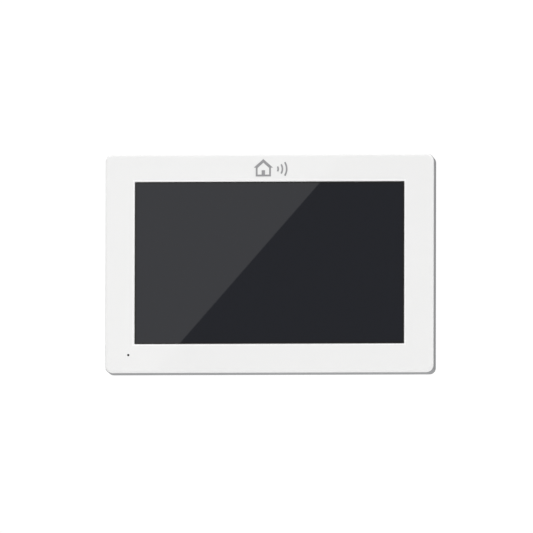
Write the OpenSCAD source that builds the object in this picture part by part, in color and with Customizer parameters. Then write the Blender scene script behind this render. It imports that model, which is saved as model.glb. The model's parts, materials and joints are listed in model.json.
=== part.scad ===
// Wall-hung video intercom monitor with a 7 inch touch display.
//
// Every sub-part is drawn as if the monitor lay on its back on a bench: x to
// the right, y up the wall and z out of the wall towards the viewer, with the
// wall at z = 0. The module hung() then stands that bench frame up, so the
// finished part has +Z up and faces -Y, and its origin is the centre of the
// wall bracket's screw holes, on the wall.

/* [Body] */
// Width of the monitor
body_w = 186; // [184:0.5:192]
// Height of the monitor
body_h = 123.5; // [123:0.5:130]
// Radius of the corners, seen from the front
corner_r = 4; // [3:0.5:6]
// Radius of the housing's corners, a little sharper than the cover's
housing_corner_r = 3.5; // [2.6:0.1:4]
// Distance from the wall to the front face
face_z = 22; // [22:0.5:24]
// Depth of the white front cover's edge
cover_edge = 2.6; // [2.4:0.1:3]
// Radius of the front cover's edge
edge_r = 1.2; // [0.6:0.1:1.6]
// Gap between the wall and the housing's rear rim
wall_gap = 0.8; // [0.6:0.1:1.2]
// Thickness of the moulded walls
wall_t = 2.2; // [2:0.1:2.4]

/* [Window] */
// Width of the window
window_w = 152.8; // [150:0.2:153]
// Height of the window
window_h = 92; // [88:0.2:92.4]
// Height of the window's centre above the cover's centre
window_up = 0.4; // [0:0.1:0.6]
// Thickness of the lip in front of the glass
lip_t = 0.8; // [0.6:0.1:1]
// Chamfer round the window
window_chamfer = 0.5; // [0.2:0.1:0.6]

/* [Display] */
// Width of the display module
lcd_w = 164.9; // [160:0.1:165]
// Height of the display module
lcd_h = 100; // [96:0.5:100]
// Thickness of the display module
lcd_t = 5.7; // [5:0.1:5.8]

/* [Microphone] */
// Distance of the sound hole from the left edge
mic_from_left = 13.2; // [12:0.1:14]
// Distance of the sound hole from the bottom edge
mic_from_bottom = 10; // [9:0.1:10]
// Diameter of the sound hole
mic_hole_d = 1.3; // [0.8:0.1:1.6]

/* [Wall bracket] */
// Width of the bracket
bracket_w = 100; // [98:1:101]
// Height of the bracket
bracket_h = 66; // [64:1:68]
// Thickness of the steel sheet
sheet_t = 1.2; // [1:0.1:1.2]
// Distance that the monitor lifts to leave the hooks
lift = 9; // [8:0.5:9]
// Spacing of the flush box screws
box_pitch = 60; // [60:0.1:60.5]
// Horizontal spacing of the wall plug screws
plug_pitch_x = 60; // [56:1:62]
// Vertical spacing of the wall plug screws
plug_pitch_y = 52; // [48:1:52]

/* [Switches] */
// Travel of the power switch
power_travel = 2; // [1.5:0.1:2.2]
// Travel of the reset plunger
reset_travel = 0.3; // [0.2:0.05:0.4]

/* [Hidden] */
$fn = 48;

small = 0.01; // overshoot of a cut past a face
fit = 0.2; // gap between parts that only locate each other

// Depths, measured out from the wall.
part_z = face_z - cover_edge; // parting line of cover and housing
face_back_z = face_z - wall_t; // back of the cover's face
rim_z = wall_gap; // rear rim of the housing
floor_z = rim_z + wall_t; // inner face of the housing's back
tape_t = 0.2;
tape_show = 0.6;
glass_t = 1.1;
sensor_t = 0.5;
gasket_t = 0.6;
glass_z = face_z - lip_t - tape_t; // front of the glass
sensor_z = glass_z - glass_t;
gasket_z = sensor_z - sensor_t;
lcd_z = gasket_z - gasket_t; // front of the display module
lcd_back_z = lcd_z - lcd_t;
chassis_t = 0.8;
chassis_z = lcd_back_z; // front of the chassis plate
chassis_back_z = chassis_z - chassis_t;
standoff_h = 0.9;
board_t = 1.6;
board_front_z = chassis_back_z - standoff_h;
board_z = board_front_z - board_t; // rear face of the board

// Locating rib behind the cover's edge.
rib_t = 1.2;
rib_outer = [body_w, body_h] - 2 * [wall_t + fit, wall_t + fit];

// Housing screws.
screw_x = body_w / 2 - 6;
screw_y = body_h / 2 - 6.25;
housing_screw_points = [
    [-screw_x, -screw_y], [0, -screw_y], [screw_x, -screw_y],
    [-screw_x, screw_y], [0, screw_y], [screw_x, screw_y]
];
head_seat_z = 7.5; // where the housing screws' heads bear
post_top_z = 11.5; // top of the housing's screw posts
housing_boss_r = 3.5;

// Chassis plate screws.
chassis_points = [[-60, -54.5], [60, -54.5], [-60, 54.5], [60, 54.5]];
chassis_boss_r = 3;

// Main board, in the bench frame.
board_left = -88.5;
board_right = 31.5;
board_half_h = 42;
board_screw_points = [[-83.5, -37.5], [26.5, -37.5], [-83.5, 37.5], [26.5, 37.5]];

// Rear pocket that takes the bracket.
pocket_w = 103;
pocket_top = 35;
pocket_bottom = -45;
pocket_z = 4.3; // outer face of the pocket's floor
pocket_floor_t = 2;
pocket_wall = 2;
pocket_back_z = pocket_z + pocket_floor_t;
header_window = [44, 22];

// Hooks of the bracket.
hook_x = 42;
hook_w = 10;
hook_tops = [14, -16]; // upper faces of the hooks' legs
hook_reach = pocket_back_z + 0.4; // rear face of the tongues
tongue_h = lift - 1;
slot_h = lift + 2;
cable_opening = [44, 36];

// Sound hole and capsule.
mic_x = mic_from_left - body_w / 2;
mic_y = mic_from_bottom - body_h / 2;
mic_boot_pos = [mic_x - 0.75, mic_y - 1.1];
mic_boot_r = 3;
mic_capsule_r = 2;
mic_capsule_t = 1.5;
mic_chamber_t = 0.5;

// Wiring headers.
header_size = [12.4, 5.8, 7];
header_wall = 0.8;
header_floor = 1.2;
header_columns = [-14, 0, 14];
header_rows = [6, -6];
pin_pitch = 2.5;
pin_w = 0.64;

// Speaker.
speaker_pos = [72, -20];
speaker_r = 16;
speaker_post_r = 18.8;
cloth_t = 0.2;
speaker_gasket_t = 0.8;
flange_t = 0.6;
basket_h = 3.6;
flange_z = floor_z + cloth_t + speaker_gasket_t;

// Left edge: card slot, power switch and reset hole.
side_outer = -body_w / 2;
side_inner = side_outer + wall_t;
card_y = 15.1;
power_y = -10;
power_z = board_z - 1.8;
reset_y = -27;
reset_z = board_z - 1.6;
scoop_depth = 1;

// Stands the bench frame up: z of the bench becomes -Y, y becomes +Z.
module hung() rotate([90, 0, 0]) children();

// A rectangle with round corners.
module rounded(w, h, r) {
    square([w - 2 * r, h], center = true);
    square([w, h - 2 * r], center = true);
    for (x = [-1, 1], y = [-1, 1])
        translate([x * (w / 2 - r), y * (h / 2 - r)]) circle(r);
}

// A rounded plate between two depths.
module slab(w, h, r, z0, z1)
    translate([0, 0, z0]) linear_extrude(z1 - z0) rounded(w, h, r);

// A rounded frame between two depths.
module frame(outer, inner, r_outer, r_inner, z0, z1)
    translate([0, 0, z0]) linear_extrude(z1 - z0)
        difference() {
            rounded(outer[0], outer[1], r_outer);
            rounded(inner[0], inner[1], r_inner);
        }

// A plain block centred on a point, between two depths.
module block(centre, size, z0, z1)
    translate([centre[0] - size[0] / 2, centre[1] - size[1] / 2, z0])
        cube([size[0], size[1], z1 - z0]);

// A round post or hole between two depths.
module rod(p, r, z0, z1)
    translate([p[0], p[1], z0]) cylinder(r = r, h = z1 - z0);

// A slot with round ends, length along y.
module oblong(p, w, l, z0, z1)
    translate([p[0], p[1], z0]) linear_extrude(z1 - z0) {
        square([w, l - w], center = true);
        for (y = [-1, 1]) translate([0, y * (l - w) / 2]) circle(w / 2);
    }

// A slot with round ends, length along x.
module oblong_x(p, w, l, z0, z1)
    translate([p[0], p[1], z0]) linear_extrude(z1 - z0) {
        square([l - w, w], center = true);
        for (x = [-1, 1]) translate([x * (l - w) / 2, 0]) circle(w / 2);
    }

// Profile of the body's rim: out to the corner radius, between two depths, with
// a rounded front edge and a bevelled rear edge.
module rim_profile(z0, z1, r, front, back) {
    translate([0, z0 + back]) square([r, z1 - z0 - front - back]);
    if (front > 0) {
        translate([0, z1 - front]) square([r - front, front]);
        translate([r - front, z1 - front]) circle(front);
    }
    if (back > 0)
        polygon([[0, z0], [r - back, z0], [r, z0 + back], [0, z0 + back]]);
}

// The body's outline as a solid block with that rim.
module body_block(z0, z1, r, front, back) {
    x = body_w / 2 - r;
    y = body_h / 2 - r;
    corners = [[x, y], [-x, y], [-x, -y], [x, -y]];
    for (i = [0 : 3])
        translate([corners[i][0], corners[i][1], 0])
            rotate(90 * i) rotate_extrude(angle = 90) rim_profile(z0, z1, r, front, back);
    for (a = [0, 180]) rotate(a)
        translate([x, y, 0]) rotate([90, 0, 0])
            linear_extrude(2 * y) rim_profile(z0, z1, r, front, back);
    for (a = [90, 270]) rotate(a)
        translate([y, x, 0]) rotate([90, 0, 0])
            linear_extrude(2 * x) rim_profile(z0, z1, r, front, back);
    block([0, 0], [2 * x, 2 * y], z0, z1);
}

// A pan-head screw that points towards the viewer, its head's seat at z.
module pan_screw(p, shank_r, head_r, head_h, length, z) {
    difference() {
        rod(p, head_r, z - head_h, z);
        for (a = [0, 90])
            translate([p[0], p[1], z - head_h])
                rotate(a) cube([head_r * 1.1, head_r * 0.28, head_h], center = true);
    }
    rod(p, shank_r, z, z + length);
}

// Point i of a path, moved sideways by d with a mitre.
function unit(v) = v / norm(v);
function side_point(p, i, d) =
    let (a = i > 0 ? unit(p[i] - p[i - 1]) : unit(p[1] - p[0]),
         b = i < len(p) - 1 ? unit(p[i + 1] - p[i]) : a,
         m = unit([-(a + b)[1], (a + b)[0]]))
    p[i] + m * (d / (m * [-a[1], a[0]]));

// A flat flex: a path of [y, z] points with thickness t, w wide about x.
module ribbon(x, w, t, path)
    translate([x - w / 2, 0, 0]) rotate([90, 0, 90]) linear_extrude(w)
        polygon(concat(
            [for (i = [0 : len(path) - 1]) side_point(path, i, t / 2)],
            [for (i = [len(path) - 1 : -1 : 0]) side_point(path, i, -t / 2)]));

// Smooth curve through a list of points, with n steps a stretch.
function bend(a, b, c, d, t) =
    0.5 * (2 * b + (c - a) * t + (2 * a - 5 * b + 4 * c - d) * t * t
           + (3 * b - a - 3 * c + d) * t * t * t);
function smooth(p, n) = let (last = len(p) - 1) concat(
    [for (i = [0 : last - 1], k = [0 : n - 1])
        bend(p[max(i - 1, 0)], p[i], p[i + 1], p[min(i + 2, last)], k / n)],
    [p[last]]);

// A round wire swept along a smooth curve through the points.
module wire(points, d, sides = 8, steps = 4) {
    c = smooth(points, steps);
    n = len(c);
    along = [for (i = [0 : n - 1]) unit(c[min(i + 1, n - 1)] - c[max(i - 1, 0)])];
    across = [for (t = along) unit(cross(t, [0.13, 0.21, 1]))];
    polyhedron(
        points = [for (i = [0 : n - 1], k = [0 : sides - 1])
            c[i] + d / 2 * (cos(360 * k / sides) * across[i]
                            + sin(360 * k / sides) * cross(across[i], along[i]))],
        faces = concat(
            [[for (k = [0 : sides - 1]) k]],
            [[for (k = [sides - 1 : -1 : 0]) (n - 1) * sides + k]],
            [for (i = [0 : n - 2], k = [0 : sides - 1], half = [0, 1])
                let (a = i * sides + k, b = i * sides + (k + 1) % sides)
                    half == 0 ? [a, a + sides, b] : [b, a + sides, b + sides]]));
}

// White moulded cover with its glass pocket, bosses and locating rib.
module front_cover() color("whitesmoke") hung() difference() {
    union() {
        difference() {
            body_block(part_z, face_z, corner_r, edge_r, 0);
            slab(rib_outer[0] - 2 * rib_t, rib_outer[1] - 2 * rib_t, 1, part_z - 1,
                 face_back_z);
        }
        frame(rib_outer, rib_outer - 2 * [rib_t, rib_t], corner_r - wall_t, 1,
              part_z - 2, part_z);
        for (p = housing_screw_points)
            rod(p, housing_boss_r, post_top_z + 0.1, face_back_z + small);
        for (p = chassis_points)
            rod(p, chassis_boss_r, chassis_z, face_back_z + small);
        cover_ribs();
    }
    translate([0, window_up, 0]) {
        slab(160.6, 99.6, 2.3, part_z - 5, face_z - lip_t);
        slab(window_w, window_h, 0.4, part_z, face_z + 1);
        window_bevel();
    }
    rod([mic_x, mic_y], mic_hole_d / 2, part_z, face_z + 1);
    for (p = housing_screw_points) rod(p, 1.5, post_top_z, face_back_z + 0.6);
    for (p = chassis_points) rod(p, 1.35, chassis_z - 1, face_back_z + 0.4);
}

// The sloping edge round the window.
module window_bevel()
    hull() {
        block([0, 0], [window_w, window_h], face_z - window_chamfer - 0.1,
              face_z - window_chamfer);
        block([0, 0], [window_w, window_h] + 2 * [window_chamfer + 1, window_chamfer + 1],
              face_z + 1, face_z + 1.1);
    }

// Ribs that centre the display module.
module cover_ribs() {
    for (x = [-1, 1], y = [-30, 30])
        block([x * (lcd_w / 2 + 1), y], [1.4, 10], lcd_z - 3, face_back_z + small);
    for (y = [-1, 1], x = [-66, 40])
        block([x, y * (lcd_h / 2 + 1) + window_up], [10, 1.4], lcd_z - 3,
              face_back_z + small);
}

// House and sound-wave pictogram, a thin transfer on the cover.
module front_badge() color("darkgray") hung()
    translate([0.7, (body_h / 2 + window_up + window_h / 2) / 2, face_z])
        linear_extrude(0.12) {
            translate([-4.2, 0]) house();
            translate([1.6, -0.6]) waves();
        }

module house() {
    difference() {
        polygon([[-5.4, 0.2], [0, 5], [5.4, 0.2], [4.3, 0.2], [4.3, -4.8],
                 [-4.3, -4.8], [-4.3, 0.2]]);
        polygon([[-3.3, 0], [0, 3], [3.3, 0], [3.3, -3.8], [-3.3, -3.8]]);
    }
    translate([0, -2.6]) square([1.9, 2.6], center = true);
}

// Three short arcs that open to the right.
module waves()
    for (r = [2.6, 5, 7.4])
        intersection() {
            difference() {
                circle(r + 0.45);
                circle(r - 0.45);
            }
            polygon([[0, 0], [12, 7.2], [12, -7.2]]);
        }

module touch_glass() color([0.12, 0.12, 0.13]) hung()
    translate([0, window_up, 0]) slab(160, 99, 2, sensor_z, glass_z);

// Black foam tape between the lip and the glass. Its inner edge shows as a
// thin dark line inside the window.
module glass_tape() color("black") hung()
    translate([0, window_up, 0])
        frame([160, 99], [window_w, window_h] - 2 * [tape_show, tape_show], 2, 0.3,
              glass_z, glass_z + tape_t);

module touch_sensor() color([0.2, 0.2, 0.22]) hung()
    translate([0, window_up, 0]) slab(158, 97, 1.5, gasket_z, sensor_z);

// Ribbon from the touch sensor's lower edge to its socket on the board.
module touch_flex() color("goldenrod") hung()
    let (edge = window_up - 97 / 2, z = sensor_z - sensor_t / 2, end = board_z - 0.65)
        ribbon(14, 12, 0.2, [
            [edge, z], [-52.4, z], [-53.6, z - 1.2], [-53.6, end + 1.5],
            [-52.2, end], [-40, end]
        ]);

module display_gasket() color("dimgray") hung()
    translate([0, window_up, 0])
        frame([160, 98], [154.2, 93.4], 1.5, 1, lcd_z, gasket_z);

// Stamped steel frame of the display module.
module display_bezel() color("silver") hung()
    translate([0, window_up, 0]) difference() {
        frame([lcd_w, lcd_h], [154.2, 93.2], 1, 0.5, lcd_z - 3.5, lcd_z);
        slab(lcd_w - 0.6, lcd_h - 0.6, 0.7, lcd_z - 4, lcd_z - 0.3);
        block([-30, -lcd_h / 2], [44, 2], lcd_z - 4, lcd_z - 0.6);
    }

module display_cell() color([0.08, 0.08, 0.1]) hung()
    translate([0, window_up, 0]) slab(159, 97, 0.5, lcd_z - 1.6, lcd_z - 0.3);

// Light guide, films and tray.
module display_backlight() color("white") hung()
    translate([0, window_up, 0]) difference() {
        slab(lcd_w - 0.7, lcd_h - 0.7, 0.6, lcd_back_z, lcd_z - 1.6);
        frame([150, 86], [146, 82], 2, 2, lcd_back_z - 1, lcd_back_z + 0.4);
        block([-30, -lcd_h / 2], [44, 3], lcd_back_z - 1, lcd_z - 1);
    }

// Ribbon from the display cell's lower edge to its socket on the board.
module display_flex() color("goldenrod") hung()
    let (edge = window_up - 97 / 2, end = board_z - 0.65)
        ribbon(-30, 40, 0.2, [
            [edge, lcd_z - 1.45], [-51.6, lcd_z - 1.45], [-52.6, lcd_z - 2.45],
            [-52.6, end + 1.5], [-51.2, end], [-40, end]
        ]);

// Steel plate that clamps the display and carries the board.
module chassis_plate() color("lightsteelblue") hung() difference() {
    union() {
        slab(168, 92, 3, chassis_back_z, chassis_z);
        for (p = chassis_points)
            block([p[0], sign(p[1]) * 50], [10, 16], chassis_back_z, chassis_z);
        for (p = board_screw_points)
            rod(p, 2.5, board_front_z, chassis_back_z + small);
    }
    for (p = chassis_points) rod(p, 1.4, chassis_back_z - 1, chassis_z + 1);
    for (p = board_screw_points) rod(p, 1.3, board_front_z - 1, chassis_z + 1);
    for (x = [-50, 50]) oblong_x([x, 0], 12, 40, chassis_back_z - 1, chassis_z + 1);
}

module chassis_screws() color("silver") hung()
    for (p = chassis_points) pan_screw(p, 1.3, 2.4, 1.6, 6, chassis_back_z);

module main_board() color("darkgreen") hung() difference() {
    translate([(board_left + board_right) / 2, 0, 0])
        slab(board_right - board_left, 2 * board_half_h, 2, board_z, board_front_z);
    for (p = board_screw_points) rod(p, 1.4, board_z - 1, board_front_z + 1);
}

module board_screws() color("silver") hung()
    for (p = board_screw_points) pan_screw(p, 1.25, 2.3, 1.5, 3.2, board_z);

// Stamped can over the processor and its memory.
module processor_shield() color("silver") hung() {
    block([-20, 25], [28, 24], board_z - 2.2, board_z);
    block([-20, 25], [20, 16], board_z - 2.4, board_z - 2.2);
}

// Small radio board with its own can.
module radio_module() color("silver") hung() {
    block([17, 27], [18, 16], board_z - 0.8, board_z);
    block([16, 27], [13, 13], board_z - 2.4, board_z - 0.8);
    rod([24.3, 32.8], 1.1, board_z - 1.8, board_z - 0.8);
}

module board_chips() color([0.1, 0.1, 0.1]) hung() {
    block([-60, -21], [10, 10], board_z - 1.4, board_z);
    block([-20, -24], [12, 12], board_z - 1.2, board_z);
    block([8, -24], [8, 8], board_z - 1.2, board_z);
    block([-74, -22], [6, 5], board_z - 1.4, board_z);
    for (y = [12, 16, 20, 24]) block([0, y], [3, 1.6], board_z - 0.9, board_z);
}

module power_coils() color([0.2, 0.2, 0.2]) hung()
    for (y = [8, -2]) block([-63, y], [7, 7], board_z - 3.6, board_z);

module power_capacitors() color("silver") hung()
    for (p = [[-63, 31], [-63, 21], [-73, 31]]) {
        block(p, [8.3, 8.3], board_z - 0.8, board_z);
        rod(p, 4, board_z - 6.2, board_z - 0.8);
    }

module flex_sockets() color("ivory") hung() {
    block([-30, -38], [42, 4], board_z - 1.3, board_z);
    block([14, -38], [14, 4], board_z - 1.3, board_z);
}

module lead_sockets() color("ivory") hung() {
    block([27, -28], [5, 5], board_z - 3, board_z);
    block([-75, -37.5], [5, 5], board_z - 3, board_z);
}

// Six shrouded headers that take the wiring plugs from the wall.
module wiring_headers() color("ivory") hung()
    for (x = header_columns, y = header_rows) difference() {
        block([x, y], header_size, board_z - header_size[2], board_z);
        block([x, y], header_size - 2 * [header_wall, header_wall, 0],
              board_z - header_size[2] - 1, board_z - header_floor);
        for (s = [-1, 1])
            block([x + s * 3.2, y - header_size[1] / 2], [1.4, 2 * header_wall + 0.1],
                  board_z - header_size[2] - 1, board_z - 3);
    }

module header_pins() color("gold") hung()
    for (x = header_columns, y = header_rows, k = [-1.5 : 1.5])
        let (p = [x + k * pin_pitch, y]) {
            block(p, [pin_w, pin_w], board_z - header_size[2] + 1.4,
                  board_z - header_floor);
            block(p, [pin_w, pin_w], board_front_z, board_front_z + 0.7);
        }

// Steel cage of the memory card slot.
module card_socket() color("silver") hung() difference() {
    block([-83.3, card_y], [14.6, 14.4], board_z - 1.9, board_z);
    block([-84, card_y], [14.4, 11.4], board_z - 1.5, board_z - 0.5);
    block([-78, card_y], [3, 5], board_z - 3, board_z - 1);
}

// Body of the slide switch.
module power_switch() color([0.15, 0.15, 0.15]) hung() difference() {
    block([-86.2, power_y], [4.4, 9], board_z - 3.6, board_z);
    block([-87.6, power_y], [2.6, 6.4], power_z - 0.8, power_z + 0.8);
}

// Ridged slider that a fingernail moves, low in its slot at rest.
module power_knob() color([0.1, 0.1, 0.1]) hung()
    let (y = power_y - power_travel / 2) {
        difference() {
            block([(side_outer + 0.2 + side_inner + 1.9) / 2, y],
                  [wall_t + 1.7, 3], power_z - 0.9, power_z + 0.9);
            for (s = [-1, 0, 1])
                block([side_outer + 0.2, y + s * 0.8], [0.6, 0.3], power_z - 1,
                      power_z + 1);
        }
        block([side_inner + 2.9, y], [2.1, 1.6], power_z - 0.6, power_z + 0.6);
    }

module reset_switch() color([0.15, 0.15, 0.15]) hung() difference() {
    block([-86.4, reset_y], [4, 6], board_z - 3.2, board_z);
    translate([-88.5, reset_y, reset_z])
        rotate([0, 90, 0]) cylinder(r = 0.75, h = 1.6);
}

// Plunger behind the reset hole, pushed with a pin.
module reset_plunger() color("white") hung()
    translate([side_inner + 0.2, reset_y, reset_z])
        rotate([0, 90, 0]) cylinder(r = 0.7, h = 2.8);

module microphone() color("silver") hung()
    rod(mic_boot_pos, mic_capsule_r, face_back_z - mic_chamber_t - mic_capsule_t,
        face_back_z - mic_chamber_t);

// Rubber sleeve that seals the capsule to the cover.
module microphone_boot() color([0.12, 0.12, 0.12]) hung() difference() {
    rod(mic_boot_pos, mic_boot_r, face_back_z - 2.2, face_back_z);
    rod(mic_boot_pos, mic_capsule_r, face_back_z - mic_chamber_t - mic_capsule_t,
        face_back_z + 1);
    rod(mic_boot_pos, 1.2, face_back_z - 3, face_back_z);
}

module microphone_lead() color("red") hung()
    for (s = [-0.55, 0.55])
        wire([[-80.55 + s, -52.85, face_back_z - mic_chamber_t - mic_capsule_t - 0.02],
              [-80.55 + s, -53.1, 15], [-80.3 + s, -53.2, 11.5], [-79.2 + s, -51, 8.8],
              [-76.8 + s, -46, 8], [-75.2 + s, -42, 8.2], [-75 + s, -40.02, 8.3]], 0.8);

// Dust cloth over the rear slots.
module speaker_cloth() color([0.1, 0.1, 0.1]) hung()
    rod(speaker_pos, speaker_r, floor_z, floor_z + cloth_t);

module speaker_gasket() color("dimgray") hung()
    translate([speaker_pos[0], speaker_pos[1], floor_z + cloth_t])
        linear_extrude(speaker_gasket_t) difference() {
            circle(speaker_r);
            circle(speaker_r - 2.4);
        }

// Basket with its terminal strip.
module speaker_basket() color([0.2, 0.2, 0.2]) hung() {
    translate([speaker_pos[0], speaker_pos[1], flange_z])
        rotate_extrude()
            polygon([[13.6, 0], [speaker_r, 0], [speaker_r, flange_t], [14.2, flange_t],
                     [13, basket_h], [8, basket_h], [8, basket_h - 0.6],
                     [12.5, basket_h - 0.6], [13.6, flange_t]]);
    block(speaker_pos - [11.6, 0], [2, 7], flange_z + basket_h - 0.3,
          flange_z + basket_h + 0.9);
}

// Paper cone with its dust dome.
module speaker_cone() color([0.25, 0.25, 0.25]) hung()
    translate([speaker_pos[0], speaker_pos[1], flange_z])
        rotate_extrude()
            polygon([[0, 0.3], [3, 0.6], [5.2, 1.8], [12, 0.2], [13.6, 0.2],
                     [13.6, 0.4], [12, 0.5], [5, 2.2], [3, 0.9], [0, 0.6]]);

module speaker_magnet() color("gray") hung()
    rod(speaker_pos, 10, flange_z + basket_h, flange_z + basket_h + 2.8);

module speaker_screws() color("silver") hung()
    for (s = [-1, 1])
        let (p = speaker_pos + [0, s * speaker_post_r]) {
            rod(p, 3.6, flange_z + flange_t, flange_z + flange_t + 0.6);
            rod(p, 1.9, flange_z + flange_t + 0.6, flange_z + flange_t + 1.8);
            rod(p, 0.9, floor_z + 0.4, flange_z + flange_t);
        }

module speaker_lead() color("red") hung()
    for (s = [-0.75, 0.75])
        wire([[speaker_pos[0] - 12.62, speaker_pos[1] + s, flange_z + basket_h + 0.45],
              [56.6, -20.6 + s, 8.7], [52, -23 + s, 9.8], [46, -26.6 + s, 10.2],
              [40, -29 + s, 10], [34, -28.8 + s, 9], [31.2, -28.1 + s, 8.4],
              [29.52, -28 + s, 8.3]], 1);

// Printed aerial stuck inside the top of the housing.
module radio_antenna() color("goldenrod") hung()
    block([30, 47], [40, 8], floor_z, floor_z + 0.2);

module antenna_lead() color([0.15, 0.15, 0.15]) hung()
    wire([[24.3, 33.92, board_z - 1.4], [24.3, 36, board_z - 1.7], [24, 39, 6.9],
          [23.5, 42, 5], [23.2, 44.6, 3.9], [23, 47, 3.68]], 0.9);

// Grey moulded tub: side walls, back, bracket pocket and screw posts.
module rear_housing() color([0.62, 0.63, 0.64]) hung() difference() {
    union() {
        difference() {
            body_block(rim_z, part_z, housing_corner_r, 0, 1.2);
            slab(body_w - 2 * wall_t, body_h - 2 * wall_t, corner_r - wall_t,
                 floor_z, part_z + 1);
        }
        block([0, (pocket_top + pocket_bottom) / 2],
              [pocket_w + 2 * pocket_wall, pocket_top - pocket_bottom + 2 * pocket_wall],
              rim_z + 0.5, pocket_back_z);
        for (p = housing_screw_points) rod(p, 4, rim_z + 0.5, post_top_z);
        translate([speaker_pos[0], speaker_pos[1], floor_z - small])
            linear_extrude(1.5) difference() {
                circle(speaker_r + 2);
                circle(speaker_r + 0.6);
            }
        for (s = [-1, 1])
            rod(speaker_pos + [0, s * speaker_post_r], 2.1, floor_z - small,
                flange_z + flange_t);
    }
    block([0, (pocket_top + pocket_bottom) / 2], [pocket_w, pocket_top - pocket_bottom],
          rim_z - 1, pocket_z);
    block([0, 0], header_window, pocket_z - 1, pocket_back_z + 1);
    for (x = [-1, 1], top = hook_tops)
        block([x * hook_x, top + 0.05 - slot_h / 2], [hook_w + 2, slot_h],
              pocket_z - 1, pocket_back_z + 1);
    for (p = housing_screw_points) {
        rod(p, 3.1, rim_z - 1, head_seat_z);
        rod(p, 1.7, head_seat_z - small, post_top_z + 1);
    }
    for (s = [-1, 1])
        rod(speaker_pos + [0, s * speaker_post_r], 0.95, floor_z + 0.2, flange_z + 2);
    speaker_slots();
    vent_slots();
    side_openings();
    for (p = pad_points) rod(p, 4.1, rim_z - 1, rim_z + 0.4);
    block([-71, -6], [30.4, 44.4], rim_z - 1, rim_z + 0.14);
}

// Upright slots over the speaker, cut to a circle.
module speaker_slots()
    for (k = [-4 : 4])
        let (x = k * 3.1, l = 2 * sqrt(pow(speaker_r - 2.6, 2) - x * x))
            oblong(speaker_pos + [x, 0], 1.5, l, rim_z - 1, floor_z + 1);

module vent_slots()
    for (side = [-1, 1], k = [0 : 7])
        oblong([side * (54 + 3.4 * k), 47], 1.5, 9, rim_z - 1, floor_z + 1);

// Card slot, switch slot and reset hole in the left wall.
module side_openings() {
    block([side_outer, card_y], [3 * wall_t, 12.2], board_z - 1.75, board_z - 0.3);
    translate([side_outer - 0.6, card_y, board_z - 1])
        rotate([0, 90, 0]) cylinder(r = 3.4, h = 1.4);
    block([side_outer, power_y], [3 * wall_t, 6.4], power_z - 1.1, power_z + 1.1);
    block([side_outer, power_y], [2 * scoop_depth, 9.4], power_z - 2.2, power_z + 2.2);
    translate([side_outer - 1, reset_y, reset_z])
        rotate([0, 90, 0]) cylinder(r = 0.9, h = wall_t + 2);
}

module housing_screws() color("silver") hung()
    for (p = housing_screw_points) pan_screw(p, 1.45, 2.8, 2, 10, head_seat_z);

// Rubber discs that rest on the wall.
pad_points = [[-80, -46], [80, -46], [-84, 45], [84, 45]];
module wall_pads() color([0.15, 0.15, 0.15]) hung()
    for (p = pad_points) rod(p, 4, 0, rim_z + 0.4);

// Blank rating label in its recess.
module rear_label() color("white") hung()
    block([-71, -6], [30, 44], rim_z + 0.02, rim_z + 0.14);

// Bent steel bracket with four hooks.
module wall_bracket() color("lightgray") hung() {
    difference() {
        slab(bracket_w, bracket_h, 3, 0, sheet_t);
        slab(cable_opening[0], cable_opening[1], 4, -1, sheet_t + 1);
        for (x = [-1, 1], y = [-1, 1])
            rod([x * plug_pitch_x / 2, y * plug_pitch_y / 2], 2.25, -1, sheet_t + 1);
        for (x = [-1, 1]) oblong_x([x * box_pitch / 2, 0], 4.2, 9, -1, sheet_t + 1);
        for (x = [-1, 1], top = hook_tops)
            block([x * hook_x, top + tongue_h / 2 + 3.4],
                  [hook_w + 0.6, tongue_h + 6.8], -1, sheet_t + 1);
    }
    for (x = [-1, 1], top = hook_tops) hook(x * hook_x, top);
}

// One hook: a leg out from the plate and a tongue that points up.
module hook(x, top) {
    block([x, top - sheet_t / 2], [hook_w, sheet_t], 0, hook_reach + sheet_t);
    block([x, top - sheet_t / 2 + tongue_h / 2], [hook_w, tongue_h + sheet_t],
          hook_reach, hook_reach + sheet_t);
}

front_cover();
front_badge();
touch_glass();
glass_tape();
touch_sensor();
touch_flex();
display_gasket();
display_bezel();
display_cell();
display_backlight();
display_flex();
chassis_plate();
chassis_screws();
main_board();
board_screws();
processor_shield();
radio_module();
board_chips();
power_coils();
power_capacitors();
flex_sockets();
lead_sockets();
wiring_headers();
header_pins();
card_socket();
power_switch();
power_knob();
reset_switch();
reset_plunger();
microphone();
microphone_boot();
microphone_lead();
speaker_cloth();
speaker_gasket();
speaker_basket();
speaker_cone();
speaker_magnet();
speaker_screws();
speaker_lead();
radio_antenna();
antenna_lead();
rear_housing();
housing_screws();
wall_pads();
rear_label();
wall_bracket();
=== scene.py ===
# %% [markdown]
# # A wall-hung video intercom monitor
#
# This lesson dresses a finished CAD assembly in Blender. The CAD model holds
# every piece at its real size and place, so nothing here is moved or resized.
# What is left is the finisher's work: set up a small studio, soften every
# moulded and stamped edge, make the screws and pins that repeat, and mix a
# material for each finish.
#
# The first cell loads the CAD frame and keeps its box.

# %% Load the frame
import json
import math

import bmesh
import bpy
from mathutils import Euler, Matrix, Vector

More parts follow.
